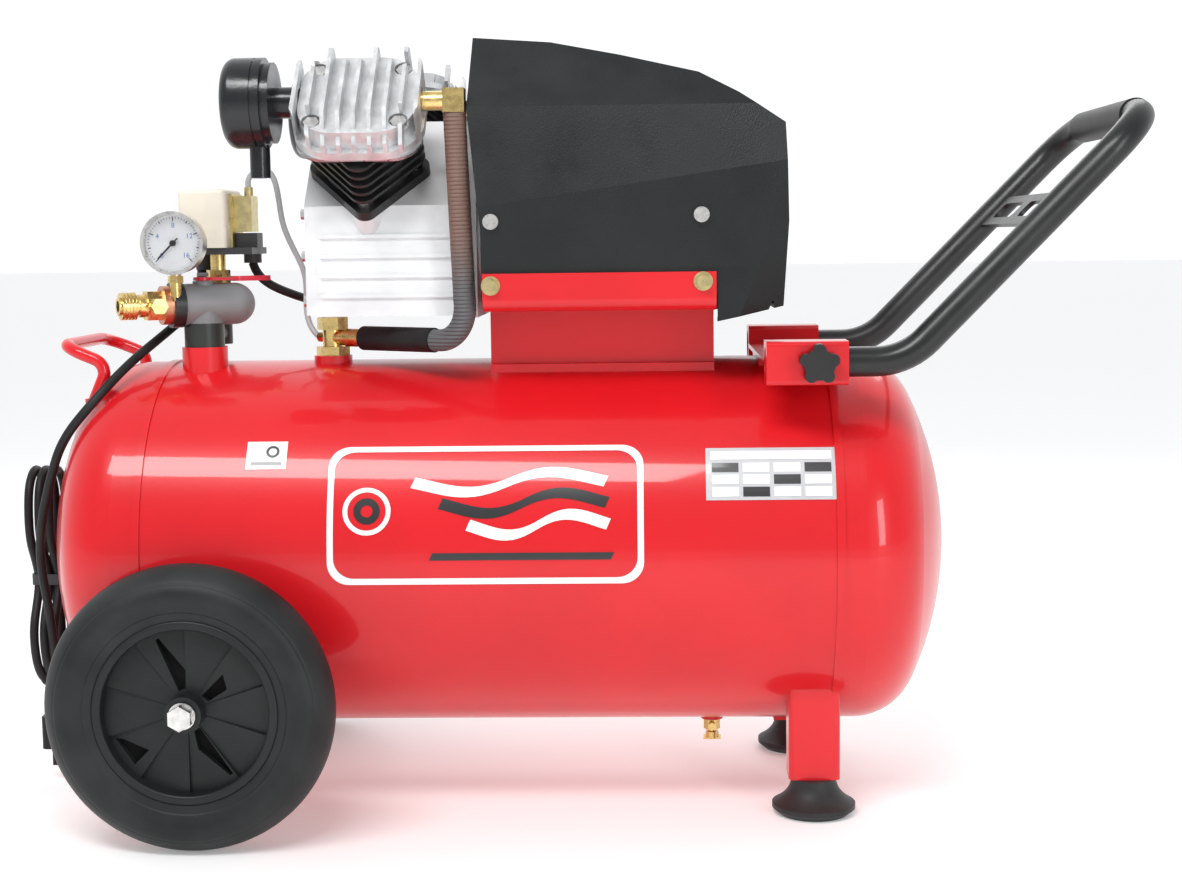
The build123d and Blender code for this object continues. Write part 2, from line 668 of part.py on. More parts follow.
def motor_end_bell():
    """Cup that carries the motor's rear bearing."""
    bell = x_ring(STATOR_RIGHT, 76, STATOR_R, STATOR_R - 5)
    bell += x_ring(74, 80, STATOR_R, 17) + x_ring(78, 90, 24, 17)
    for i in range(6):
        vent = Pos(77, 0, CRANK_Z) * Rot(i * 60, 0, 0) * Pos(0, 0, 42) * Box(12, 22, 16)
        bell -= vent
    return bell


def motor_base():
    """Cradle between the tray and the stator."""
    cradle = block(-52, 42, -48, 48, TRAY_Z + SHEET, 452)
    return cradle - x_ring(-70, 70, STATOR_R, 0)


def cooling_fan():
    fan = x_ring(98, 124, 20, 10)
    for i in range(9):
        blade = Pos(111, 0, CRANK_Z) * Rot(i * 40, 0, 0) * Pos(0, 0, 41) * Rot(0, 0, 32) * Box(24, 2.4, 46)
        fan += blade
    return fan & x_ring(90, 130, 64, 0)


def run_capacitor():
    """Capacitor in a strap on top of the motor."""
    can = rod((-34, 30, 596), (46, 30, 596), 18)
    can += rod((46, 30, 596), (52, 30, 596), 13)
    strap = block(-4, 12, 20, 40, 560, 580)
    return can + (strap - x_ring(-70, 70, STATOR_R, 0))


def terminal_box():
    """Wiring box on the motor's far flank."""
    box_part = block(-46, 10, 50, 96, 476, 528) - x_ring(-70, 70, STATOR_R, 0)
    return fillet(box_part.edges().filter_by(Axis.Y).sort_by(Axis.X)[-2:], 4)


def shroud_outline(inset, crease_z, crown_half):
    """Front outline of the hood, in Y and Z, from its lower edge over the roof."""
    near = [(-116.5, 415), (-116.5, 470), (-122, crease_z), (-109, 604), (-crown_half, 672)]
    outline = make_face(Polyline(*near, *[(-y, z) for y, z in reversed(near)], close=True))
    return offset(outline, -inset, kind=Kind.INTERSECTION) if inset else outline


def shroud_solid(inset):
    """Faceted hood: its front outline changes towards the fan, and a side and a plan outline trim it."""
    open_end = -200 if inset else -300
    lip = [(SHROUD_FOOT_X, 420), (SHROUD_FOOT_X, 505), (SHROUD_CREASE_X, 603), (SHROUD_TOP_X, SHROUD_TOP)]
    back = [(-27, 660), (32, 648), (98, 632), (131, 614), (169, 588), (SHROUD_RIGHT, 507)]
    back += [(168, 436), (111, 424)]
    plan = [(open_end, -130), (92, -130), (176, -88), (176, 88), (92, 130), (open_end, 130)]
    if inset:
        lip = [(open_end, 400), (open_end, SHROUD_TOP)]
    side = lip + back
    side_face, plan_face = [make_face(Polyline(*points, close=True)) for points in (side, plan)]
    if inset:
        side_face = offset(side_face, -inset, kind=Kind.INTERSECTION)
        plan_face = offset(plan_face, -inset, kind=Kind.INTERSECTION)
    pump_end = Plane.YZ.offset(-240) * shroud_outline(inset, 500, 62)
    fan_end = Plane.YZ.offset(SHROUD_RIGHT + 20) * shroud_outline(inset, 560, 58)
    hood = loft([pump_end, fan_end], ruled=True)
    hood &= extrude(Plane.XZ * side_face, 140, both=True)
    return hood & extrude(Plane.XY.offset(400) * plan_face, 330, dir=(0.37, 0, 0.93))


def shroud():
    """Thin hood, open to the pump and below, with an air grille at the fan's end."""
    hood = shroud_solid(0) - shroud_solid(SHROUD_WALL)
    hood -= block(-200, TRAY_RIGHT + 1, -200, 200, 400, TRAY_Z + 12)
    hood -= block(-120, 160, -105, 105, 400, 440)
    for i in range(9):
        y = (i - 4) * 14
        hood -= block(150, 190, y - 4, y + 4, 456, 560)
    return hood - saddle_bolts() - shroud_screws()


def shroud_screws():
    pieces = []
    for x, z in ((-76, 509), (99, 513)):
        for side in (NEAR, FAR):
            shank = rod((x, side * 112, z), (x, side * 121, z), 2.5)
            head = rod((x, side * 117, z), (x, side * 124, z), 6.5) - shroud_solid(0)
            pieces.append(shank + head)
    return group(*pieces)


# ================= pipework =================

PORT_Y = -(HEAD_BASE + PORT_HEIGHT) * COS45
PORT_Z = CRANK_Z - PORT_Y
ELBOW_X = -106.0
FILTER_R = 37.5
HOSE_R = 9.5
HOSE_BEND = 30.0


def discharge_elbow(side):
    """Brass elbow on a head's right face; the far head is further along the crankpin."""
    y = side * abs(PORT_Y)
    face = NEAR_BANK_X + PLENUM_HALF_X + (0 if side == NEAR else ROD_PITCH)
    fitting = rod((face, y, PORT_Z), (ELBOW_X, y, PORT_Z), 8)
    return fitting + block(ELBOW_X - 9, ELBOW_X + 9, y - 9, y + 9, PORT_Z - 10, PORT_Z + 10)


def air_filter():
    """Near intake filter: a drum on the head's left face with a snorkel below."""
    x0, x1, y, z = -297, -263, PORT_Y, PORT_Z
    face = NEAR_BANK_X - PLENUM_HALF_X
    drum = rod((x0, y, z), (x1, y, z), FILTER_R)
    circles = drum.edges().filter_by(GeomType.CIRCLE).sort_by(Axis.X)
    drum = fillet(circles[0], 10)
    drum -= rod((x1 - 8, y, z), (x1 - 6, y, z), FILTER_R + 1, FILTER_R - 1.4)
    drum += rod((x1, y, z), (x1 + 7, y, z), FILTER_R - 4)
    drum += rod((x1, y, z), (face - 4, y, z), 13) + rod((face - 4, y, z), (face, y, z), 9)
    snorkel_x = x1 - 7
    drum += rod((snorkel_x, y, z - FILTER_R + 3), (snorkel_x, y, 548), 8.5)
    return drum - rod((snorkel_x, y, 568), (snorkel_x, y, 547), 6)


HOSE_CORNER = Vector(-100, -97, 409)
HOSE_END = Vector(-214, -19, 409)
HOSE_RUN = (HOSE_END - HOSE_CORNER).normalized()
FERRULE_LENGTH = 20.0


def discharge_hose():
    """From the elbow down the crankcase's side, then under it towards the check valve."""
    top = (ELBOW_X, PORT_Y, PORT_Z - 10)
    end = HOSE_END - HOSE_RUN * FERRULE_LENGTH
    return bent_tube([top, HOSE_CORNER, end], HOSE_BEND, HOSE_R) - discharge_elbow(NEAR)


def hose_sleeve():
    """Smooth black heat sleeve over the hose's lower run."""
    start = HOSE_CORNER + HOSE_RUN * (HOSE_BEND + 6)
    return rod(start, HOSE_END - HOSE_RUN * FERRULE_LENGTH, HOSE_R + 1.2, HOSE_R)


def check_valve():
    """Brass valve screwed into its boss; ports face the hose and the unloader tube."""
    x, y = CHECK_X, CHECK_Y
    body = rod((x, y, CHECK_TOP - 4), (x, y, 424), 9)
    body += hex_bar((x, y, CHECK_TOP), (x, y, 401), 26)
    body += hex_bar((x, y, 416), (x, y, 427), 24)
    body += rod((x, y, 409), HOSE_END, 7)
    body += rod(HOSE_END, HOSE_END - HOSE_RUN * FERRULE_LENGTH, 8)
    return body + rod((x, y, 409), (x - 13, y + 9, 409), 4.5)


def crossover_pipe():
    """Joins the two elbows across the pump, ahead of the motor hood."""
    y = abs(PORT_Y) - 9
    return rod((ELBOW_X, -y, PORT_Z), (ELBOW_X, y, PORT_Z), 6)


# ================= valve train =================

def train_point(along, across=0.0, z=TRAIN_Z):
    """Point on the valve train: along its axis towards the outlet, across it to the near side."""
    yaw = math.radians(TRAIN_YAW)
    x = OUTLET_X - along * math.cos(yaw) + across * math.sin(yaw)
    y = OUTLET_Y - along * math.sin(yaw) - across * math.cos(yaw)
    return (x, y, z)


def train_bar(a0, a1, radius, inner=0.0):
    return rod(train_point(a0), train_point(a1), radius, inner)


def riser_tee():
    """Black fitting on the outlet boss, with a branch to the pressure switch behind."""
    tee = rod((OUTLET_X, OUTLET_Y, OUTLET_TOP), (OUTLET_X, OUTLET_Y, 424), 17.5)
    tee += rod((OUTLET_X, OUTLET_Y, OUTLET_TOP - 10), (OUTLET_X, OUTLET_Y, OUTLET_TOP), 10)
    tee += rod((OUTLET_X, OUTLET_Y, 413), (-336, SWITCH_Y, 413), 9)
    return tee + rod((-336, SWITCH_Y, 403), (-336, SWITCH_Y, 440), 11)


def valve_body():
    """Grey ball-valve body: a barrel with a rounded blind end and the lever's stem."""
    body = train_bar(-28, 20, 18.5)
    body += Pos(*train_point(-28)) * Sphere(18.5)
    body += rod(train_point(0, 0, 424), train_point(0, 0, TRAIN_Z), 17.5)
    body += rod(train_point(0, 0, TRAIN_Z), train_point(0, 0, 461), 9)
    body += rod(train_point(0, 0, 461), train_point(0, 0, 468), 3)
    return body + hex_bar(train_point(0, 0, 465.2), train_point(0, 0, 468.4), 9)


def valve_lever():
    """Thin red lever that lies along the valve when it is open."""
    plane = Plane(origin=train_point(0, 0, 461.5), x_dir=Vector(*train_point(-1)) - Vector(*train_point(0)))
    blade = plane * Pos(28, 0, 1.25) * extrude(RectangleRounded(66, 12, 5.5), 1.25, both=True)
    blade += plane * rod((0, 0, 0), (0, 0, 3), 8.5)
    grip = plane * Pos(44, 0, 1.25) * extrude(RectangleRounded(36, 14, 6), 2.2, both=True)
    return blade + grip - rod(train_point(0, 0, 455), train_point(0, 0, 470), 3 + RUNNING)


def outlet_collar():
    """Black clamp nut and copper-coloured ring at the valve's outlet."""
    collar = train_bar(20, 30, 20)
    return collar + train_bar(30, 38, 17)


def outlet_coupler():
    """Brass outlet block with a plugged port in front, a safety valve behind and a quick coupler."""
    body = hex_bar(train_point(38), train_point(52), 25) + train_bar(52, 76, 8) + train_bar(52, 58, 10)
    body += rod(train_point(46, 0), train_point(46, 24), 5.5)
    body += hex_bar(train_point(46, 15), train_point(46, 26), 13)
    body += rod(train_point(46, 0), train_point(46, -26), 6)
    body += hex_bar(train_point(46, -14), train_point(46, -20), 14)
    return body - train_bar(54, 77, AIR_BORE_R)


def coupler_sleeve():
    """Ribbed sleeve that is pulled back to release the plug."""
    sleeve = train_bar(61, 74, 12, 8 + RUNNING)
    for along in (62, 65, 68, 71):
        sleeve -= train_bar(along, along + 1.2, 12.5, 11)
    return sleeve


def safety_ring():
    """Pull ring of the safety valve, with the pin it is wired to."""
    pin = rod(train_point(46, -26.3), train_point(46, -33), 1.6)
    return pin + Pos(*train_point(46, -38)) * Torus(5.5, 0.9)


def gauge_case():
    """Gauge body, open in front, with its stem into the collar."""
    x, y, z = GAUGE_X, GAUGE_Y, GAUGE_Z
    case = rod((x, y + 10, z), (x, y - 9, z), GAUGE_R - 1)
    case += rod((x, y - 4, z), (x, y - 10, z), GAUGE_R)
    case -= rod((x, y - 2, z), (x, y - 11, z), GAUGE_R - 3)
    stem = rod((x, y, z - GAUGE_R + 2), (x, y, TRAIN_Z + 4), 5)
    nut = hex_bar((x, y, z - GAUGE_R - 1), (x, y, z - GAUGE_R - 7), 12)
    stem = stem + nut - outlet_collar() - train_bar(0, 20, 18.5)
    return case + stem - rod((x, y, z), (x, y - 3, z), 1.2)


def gauge_lens():
    x, y, z = GAUGE_X, GAUGE_Y, GAUGE_Z
    return rod((x, y - 7.5, z), (x, y - 9.2, z), GAUGE_R - 3)


def gauge_needle():
    """Needle on its spindle; it rests on the dial's zero, at the lower left."""
    x, y, z = GAUGE_X, GAUGE_Y, GAUGE_Z
    angle = math.radians(225)
    tip = (x + 19 * math.cos(angle), y - 5, z + 19 * math.sin(angle))
    tail = (x - 6 * math.cos(angle), y - 5, z - 6 * math.sin(angle))
    needle = rod(tail, tip, 0.7) + rod((x, y - 4, z), (x, y - 6, z), 2.6)
    return needle + rod((x, y - 6, z), (x, y - 0.5, z), 1.2 - RUNNING)


def switch_cover():
    cover = block(-363, -320, SWITCH_Y - 34, SWITCH_Y + 34, 490, 542)
    cover = fillet(cover.edges().filter_by(Axis.Z), 5)
    cover = fillet(cover.edges().group_by(Axis.Z)[-1], 4)
    return cover


def switch_base():
    """Black moulding under the cover, with the brass nipple that holds the switch up."""
    base = block(-362, -298, SWITCH_Y - 32, SWITCH_Y + 32, 484, 490)
    base += rod((-336, SWITCH_Y, 440), (-336, SWITCH_Y, 484), 7)
    return base + hex_bar((-336, SWITCH_Y, 458), (-336, SWITCH_Y, 470), 19)


def switch_unloader():
    """Zinc bracket and valve block on the switch's right flank."""
    plate = block(-320, -317, SWITCH_Y - 22, SWITCH_Y + 22, 490, 538)
    body = block(-317, -301, SWITCH_Y - 14, SWITCH_Y + 14, 504, 536)
    return plate + body + rod((-306, SWITCH_Y, 536), (-306, SWITCH_Y, 544), 4)


POWER_GLAND_TOP = (-352, SWITCH_Y + 16, 484)
POWER_GLAND_END = (-352, SWITCH_Y + 16, 470)


def cord_glands():
    """Grey glands under the switch: the motor cable's on the right, the power cord's on the left."""
    right = block(-316, -297, SWITCH_Y - 12, SWITCH_Y + 12, 490, 503)
    right += rod((-305, SWITCH_Y + 4, 484), (-305, SWITCH_Y + 4, 476), 8)
    left = rod(POWER_GLAND_TOP, POWER_GLAND_END, 8)
    return group(right, left)


def unloader_tube():
    x, y = -306, SWITCH_Y
    points = [(x, y, 544), (-302, y, 556), (-290, y, 559), (-280, y, 540), (-275, y - 2, 510),
              (-264, y - 4, 484), (-256, y - 6, 464), (-255, y - 6, 430), (CHECK_X - 14, CHECK_Y + 10, 409)]
    return smooth_tube(points, 2.6)


def motor_cable():
    points = [(-305, SWITCH_Y + 4, 476), (-298, 22, 462), (-276, 34, 448), (-256, 62, 440), (-236, 88, 440),
              (-190, 92, 442), (-120, 90, 446), (-70, 84, 470), (-46, 76, 490)]
    return smooth_tube(points, 4)


def drain_valve():
    valve = rod((DRAIN_X, 0, 66), (DRAIN_X, 0, 44), 4) - rod((DRAIN_X, 0, 44), (DRAIN_X, 0, 50), 2.05)
    nut = hex_bar((DRAIN_X, 0, DRAIN_BOTTOM), (DRAIN_X, 0, 46), 13)
    valve += nut - rod((DRAIN_X, 0, 44), (DRAIN_X, 0, 57), 4)
    return valve + rod((DRAIN_X, -6, 51), (DRAIN_X, -13, 51), 3)


def drain_screw():
    screw = rod((DRAIN_X, 0, 43.6), (DRAIN_X, 0, 49.8), 2)
    screw += rod((DRAIN_X, 0, 43.6), (DRAIN_X, 0, 38), 6)
    return screw + block(DRAIN_X - 8, DRAIN_X + 8, -1.5, 1.5, 36, 40)


# ================= power cord =================

HANK_X = -498.0
TIE_Z = 190.0
WAIST_R = 11.0
CORD_POINTS = [POWER_GLAND_END, (-356, 16, 438), (-374, -22, 417), (-398, -64, 392), (-421, -96, 362),
               (-450, -100, 328), (-466, -88, 290), (-481, -72, 250), (-491, -48, 212),
               (HANK_X, 1 - WAIST_R, TIE_Z)]


def cord_radii(points):
    """Bend radius at each inner point, from its shorter run and its turn."""
    radii = []
    for before, here, after in zip(points, points[1:], points[2:]):
        a, b = Vector(before), Vector(here)
        first, second = b - a, Vector(after) - b
        turn = math.radians(first.get_angle(second))
        shorter = min(first.length, second.length)
        radii.append(0.45 * shorter / math.tan(turn / 2))
    return radii


def power_cord():
    return bent_tube(CORD_POINTS, cord_radii(CORD_POINTS), CORD_R)


def cord_hank():
    """Outer shape of the coiled remainder: two flat lobes with a tied waist."""
    lobes = []
    for low, high, half_y in ((76, 182, 30), (198, 296, 26)):
        mid = (low + high) / 2
        outline = RectangleRounded(2 * half_y, high - low, half_y * 0.9)
        lobes.append(Pos(HANK_X - 11, 0, mid) * extrude(Plane.YZ * outline, 22))
    waist = rod((HANK_X, 0, TIE_Z - 10), (HANK_X, 0, TIE_Z + 10), WAIST_R)
    return lobes[0] + lobes[1] + waist


PLUG_TOP = (HANK_X, 0, 76)


def plug():
    """Moulded mains plug that hangs below the hank, with generic blades."""
    x, y, z = PLUG_TOP
    neck = rod((x, y, z), (x, y, z - 14), 6)
    body = fillet(block(x - 11, x + 11, y - 14, y + 14, z - 44, z - 14).edges().filter_by(Axis.Z), 5)
    blades = [block(x - 3.2, x + 3.2, y + dy - 0.8, y + dy + 0.8, z - 61, z - 44) for dy in (-6.3, 6.3)]
    return neck + body + blades[0] + blades[1]


# ================= nodes =================

def main():
    save("tank_shell", tank_shell() + tank_bosses())
    save("tank_heads", group(tank_head(TANK_LEFT, 1), tank_head(TANK_RIGHT, -1)))
    save("end_handle", end_handle())
    save("motor_saddle", motor_saddle())
    legs = leg_bracket()
    save("chassis_brackets", group(wheel_bracket(NEAR), wheel_bracket(FAR), legs, other_side(legs)))
    save("axles", group(axle(NEAR), axle(FAR)))
    for side, word in ((NEAR, "near"), (FAR, "far")):
        save(f"wheel_hub_{word}", placed_wheel(wheel_hub(), side))
        save(f"tyre_{word}", placed_wheel(tyre(), side))
        save(f"clamp_knob_{word}", clamp_knob(side))
    near_foot, near_bolt = foot(), foot_bolt()
    save("rubber_feet", group(near_foot, other_side(near_foot)))
    save("foot_bolts", group(near_bolt, other_side(near_bolt)))
    save("handle_bracket", handle_plate() + handle_socket(NEAR) + handle_socket(FAR))
    save("handle_tube", handle_tube() + handle_brace())
    save("handle_grip", handle_grip())

    save("crankcase", crankcase())
    save("crankcase_cover", crankcase_cover())
    bank_bolts = group(base_bolts(), head_bolts())
    save("pump_bolts", group(near_bank(bank_bolts), far_bank(bank_bolts), cover_bolts()))
    barrel, head = cylinder(), cylinder_head()
    save("cylinders", group(near_bank(barrel), far_bank(barrel)))
    save("cylinder_heads", group(near_bank(head), far_bank(head)))
    save("valve_plates", group(near_bank(valve_plate()), far_bank(valve_plate())))
    save("pistons", group(near_bank(piston()), far_bank(piston())))
    save("connecting_rods", con_rods())
    save("crankshaft", crankshaft())
    save("shaft_bearings", shaft_bearings())

    save("motor_stator", motor_stator())
    save("motor_rotor", motor_rotor())
    save("motor_frame", group(motor_end_bell(), motor_base()))
    save("cooling_fan", cooling_fan())
    save("motor_electrics", group(run_capacitor(), terminal_box()))
    save("shroud", shroud())
    save("shroud_fasteners", group(saddle_bolts(), shroud_screws()))

    save("discharge_elbows", group(discharge_elbow(NEAR), discharge_elbow(FAR)))
    near_filter = air_filter()
    save("air_filters", group(near_filter, Pos(ROD_PITCH, 0, 0) * other_side(near_filter)))
    save("discharge_hose", discharge_hose())
    save("hose_sleeve", hose_sleeve())
    save("check_valve", check_valve())
    save("crossover_pipe", crossover_pipe())

    save("riser_tee", riser_tee() - valve_body())
    save("valve_body", valve_body())
    save("valve_lever", valve_lever())
    save("outlet_collar", outlet_collar())
    save("outlet_coupler", outlet_coupler())
    save("coupler_sleeve", coupler_sleeve())
    save("safety_ring", safety_ring())
    save("gauge_case", gauge_case())
    save("gauge_lens", gauge_lens())
    save("gauge_needle", gauge_needle())
    save("switch_cover", switch_cover())
    save("switch_base", group(switch_base(), cord_glands()))
    save("switch_unloader", switch_unloader())
    save("unloader_tube", unloader_tube())
    save("motor_cable", motor_cable())
    save("drain_valve", drain_valve())
    save("drain_screw", drain_screw())
    save("power_cord", power_cord())
    save("cord_hank", cord_hank())
    save("plug", plug())


main()
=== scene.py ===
"""Horizontal-tank air compressor: materials, decals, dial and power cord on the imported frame."""
import bpy
import math
from mathutils import Matrix, Vector


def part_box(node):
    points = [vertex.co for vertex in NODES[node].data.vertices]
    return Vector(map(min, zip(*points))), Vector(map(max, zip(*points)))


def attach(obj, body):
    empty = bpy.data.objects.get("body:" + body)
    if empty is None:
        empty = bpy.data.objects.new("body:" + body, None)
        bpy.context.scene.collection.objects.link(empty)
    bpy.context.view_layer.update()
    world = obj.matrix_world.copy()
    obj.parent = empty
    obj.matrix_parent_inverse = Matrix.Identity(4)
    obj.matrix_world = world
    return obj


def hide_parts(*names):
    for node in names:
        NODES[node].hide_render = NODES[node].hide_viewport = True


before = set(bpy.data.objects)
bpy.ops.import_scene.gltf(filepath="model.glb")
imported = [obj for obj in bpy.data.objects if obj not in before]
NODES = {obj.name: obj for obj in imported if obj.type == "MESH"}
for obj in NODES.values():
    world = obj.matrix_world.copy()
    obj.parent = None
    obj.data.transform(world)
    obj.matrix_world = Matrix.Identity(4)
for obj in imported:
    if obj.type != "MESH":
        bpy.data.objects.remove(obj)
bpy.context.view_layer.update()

MM = 0.001
ROOT = "machine"

# ---- sizes taken over from the CAD model, in metres ----
TANK_R = 0.163
TANK_Z = 0.225
WHEEL_X, WHEEL_Z = -0.321, 0.119
GAUGE = Vector((-0.3576, -0.056, 0.4947))
GAUGE_FACE_Y = GAUGE.y - 0.0021
GAUGE_R = 0.0245
GAUGE_RIM = 0.0278
CORD_R = 0.004
SKIN = 0.0004

# ---- camera and studio ----
CAMERA_PLACE = (0.0563, -1.6699, 0.4954)
CAMERA_YAW, CAMERA_PITCH, CAMERA_ROLL = -0.033, 0.1106, 0.0125
CAMERA_LENS, CAMERA_SENSOR = 56.6, 36
SKY_COLOR = (0.98, 0.985, 1.0, 1)
SKY_FRONT, SKY_BACK = 0.42, 1.08
FLOOR_SIZE = 60
FLOOR_GLOW = 0.22

# ---- where one node carries two finishes ----
HOOD_SCREW_Z = 0.485
NIPPLE, NIPPLE_R = Vector((-0.336, 0.014)), 0.0115
SWITCH_Z = 0.4835
OUTLET = Vector((-0.34, -0.03, 0.4405))
TRAIN_AXIS = Vector((math.cos(math.radians(30)), math.sin(math.radians(30)), 0))
RING_START = 0.0301
# Depth of the hub pockets' floors, which carry painted shade
POCKET_FLOOR_Y = 0.204


# ================= camera and light =================

def add_camera():
    """Camera at the height and distance from which the machine is usually pictured."""
    yaw, pitch, roll = CAMERA_YAW, CAMERA_PITCH, CAMERA_ROLL
    forward = Vector((math.sin(yaw) * math.cos(pitch), math.cos(yaw) * math.cos(pitch), -math.sin(pitch)))
    right = Vector((math.cos(yaw), -math.sin(yaw), 0))
    up = right.cross(forward)
    x_axis = right * math.cos(roll) - up * math.sin(roll)
    y_axis = right * math.sin(roll) + up * math.cos(roll)
    data = bpy.data.cameras.new("camera")
    data.sensor_width = CAMERA_SENSOR
    data.lens = CAMERA_LENS
    camera = bpy.data.objects.new("camera", data)
    camera.matrix_world = Matrix((x_axis, y_axis, -forward)).transposed().to_4x4()
    camera.location = CAMERA_PLACE
    bpy.context.collection.objects.link(camera)
    bpy.context.scene.camera = camera


def add_light(name, location, target, size, power):
    data = bpy.data.lights.new(name, "AREA")
    data.shape = "RECTANGLE"
    data.size, data.size_y = size
    data.energy = power
    lamp = bpy.data.objects.new(name, data)
    lamp.location = location
    lamp.rotation_mode = "QUATERNION"
    lamp.rotation_quaternion = (Vector(target) - Vector(location)).to_track_quat("-Z", "Y")
    bpy.context.collection.objects.link(lamp)


def add_studio():
    """White floor under a sky that is dimmer in front of the machine than behind it, and three soft lamps."""
    world = bpy.data.worlds.new("studio")
    bpy.context.scene.world = world
    world.use_nodes = True
    tree = world.node_tree
    background = tree.nodes["Background"]
    background.inputs["Color"].default_value = SKY_COLOR
    source = tree.nodes.new("ShaderNodeTexCoord")
    axes = tree.nodes.new("ShaderNodeSeparateXYZ")
    glow = tree.nodes.new("ShaderNodeMapRange")
    glow.inputs["From Min"].default_value = -0.5
    glow.inputs["From Max"].default_value = 0.6
    glow.inputs["To Min"].default_value = SKY_FRONT
    glow.inputs["To Max"].default_value = SKY_BACK
    tree.links.new(source.outputs["Generated"], axes.inputs["Vector"])
    tree.links.new(axes.outputs["Y"], glow.inputs["Value"])
    tree.links.new(glow.outputs["Result"], background.inputs["Strength"])
    bpy.context.scene.view_settings.view_transform = "Standard"
    add_light("key", (-0.6, -1.5, 2.1), (-0.05, 0, 0.3), (1.6, 0.5), 38)
    add_light("fill", (1.5, -2.3, 0.9), (0.1, 0, 0.3), (0.5, 1.2), 16)
    add_light("rim", (0.3, 1.7, 1.6), (0, 0, 0.4), (1.8, 0.6), 8)
    bpy.ops.mesh.primitive_plane_add(size=FLOOR_SIZE, location=(0, 0, 0))
    floor = bpy.context.object
    floor.name = "floor"
    white = material("floor_white", (0.9, 0.9, 0.9), 0.6)
    _, shader = nodes_of(white)
    shader.inputs["Emission Color"].default_value = (1, 1, 1, 1)
    shader.inputs["Emission Strength"].default_value = FLOOR_GLOW
    floor.data.materials.append(white)


# ================= materials =================

def nodes_of(mat):
    tree = mat.node_tree
    return tree, tree.nodes["Principled BSDF"]


def material(name, color, rough, metallic=0.0, coat=0.0, specular=0.5):
    """Plain shader; the functions below add the surface's own texture."""
    mat = bpy.data.materials.new(name)
    mat.use_nodes = True
    _, shader = nodes_of(mat)
    shader.inputs["Base Color"].default_value = (*color, 1)
    shader.inputs["Roughness"].default_value = rough
    shader.inputs["Metallic"].default_value = metallic
    shader.inputs["Specular IOR Level"].default_value = specular
    if coat:
        shader.inputs["Coat Weight"].default_value = coat
        shader.inputs["Coat Roughness"].default_value = 0.05
    return mat


def coordinates(tree, scale=(1, 1, 1)):
    source = tree.nodes.new("ShaderNodeTexCoord")
    mapping = tree.nodes.new("ShaderNodeMapping")
    mapping.inputs["Scale"].default_value = scale
    tree.links.new(source.outputs["Object"], mapping.inputs["Vector"])
    return mapping.outputs["Vector"]


def noise(tree, scale, detail=3.0, stretch=(1, 1, 1)):
    tex = tree.nodes.new("ShaderNodeTexNoise")
    tex.inputs["Scale"].default_value = scale
    tex.inputs["Detail"].default_value = detail
    tree.links.new(coordinates(tree, stretch), tex.inputs["Vector"])
    return tex.outputs["Fac"]


def vary_color(mat, dark, light, scale, detail=4.0, stretch=(1, 1, 1)):
    """Blotches between two tones of the base colour."""
    tree, shader = nodes_of(mat)
    ramp = tree.nodes.new("ShaderNodeValToRGB")
    ramp.color_ramp.elements[0].position = 0.35
    ramp.color_ramp.elements[0].color = (*dark, 1)
    ramp.color_ramp.elements[1].position = 0.65
    ramp.color_ramp.elements[1].color = (*light, 1)
    tree.links.new(noise(tree, scale, detail, stretch), ramp.inputs["Fac"])
    tree.links.new(ramp.outputs["Color"], shader.inputs["Base Color"])
    return mat


def vary_roughness(mat, low, high, scale, stretch=(1, 1, 1)):
    """Patches between two roughnesses."""
    tree, shader = nodes_of(mat)
    span = tree.nodes.new("ShaderNodeMapRange")
    span.inputs["From Min"].default_value = 0.3
    span.inputs["From Max"].default_value = 0.7
    span.inputs["To Min"].default_value = low
    span.inputs["To Max"].default_value = high
    tree.links.new(noise(tree, scale, 5.0, stretch), span.inputs["Value"])
    tree.links.new(span.outputs["Result"], shader.inputs["Roughness"])
    return mat


def add_bump(mat, height, depth):
    """Feeds a height field into the shader's normal; depth is in metres."""
    tree, shader = nodes_of(mat)
    bump = tree.nodes.new("ShaderNodeBump")
    bump.inputs["Strength"].default_value = 1.0
    bump.inputs["Distance"].default_value = depth
    tree.links.new(height, bump.inputs["Height"])
    tree.links.new(bump.outputs["Normal"], shader.inputs["Normal"])
    return mat


def grain(mat, scale, depth, detail=4.0, stretch=(1, 1, 1)):
    tree, _ = nodes_of(mat)
    return add_bump(mat, noise(tree, scale, detail, stretch), depth)


def gloss_paint(name, color):
    """Sprayed enamel: faint tone changes, orange peel and a clear coat."""
    mat = material(name, color, 0.3, coat=0.5, specular=0.25)
    dark = tuple(c * 0.93 for c in color)
    light = tuple(min(1, c * 1.05) for c in color)
    vary_color(mat, dark, light, 6.0)
    return grain(mat, 260, 0.00006, 2.0)


def satin_paint(name, color):
    mat = material(name, color, 0.34, specular=0.45)
    vary_color(mat, tuple(c * 0.8 for c in color), tuple(c * 1.25 for c in color), 30.0)
    vary_roughness(mat, 0.28, 0.42, 18.0)
    return grain(mat, 420, 0.00003)


def moulded_plastic(name, color, rough=0.5, scale=1400, specular=0.5):
    mat = material(name, color, rough, specular=specular)
    vary_color(mat, tuple(c * 0.85 for c in color), tuple(c * 1.15 for c in color), 14.0)
    vary_roughness(mat, rough - 0.08, rough + 0.1, 24.0)
    return grain(mat, scale, 0.00012)


def rubber(name, color):
    mat = material(name, color, 0.5, specular=0.28)
    vary_color(mat, tuple(c * 0.75 for c in color), tuple(c * 1.35 for c in color), 22.0)
    return grain(mat, 700, 0.00014)


def cast_metal(name, color, rough=0.42):
    """Sand-cast aluminium: pitted, blotchy and semi-bright."""
    mat = material(name, color, rough, metallic=0.85)
    vary_color(mat, tuple(c * 0.78 for c in color), color, 60.0, 6.0)
    vary_roughness(mat, rough - 0.1, rough + 0.18, 90.0)
    return grain(mat, 650, 0.00025, 6.0)


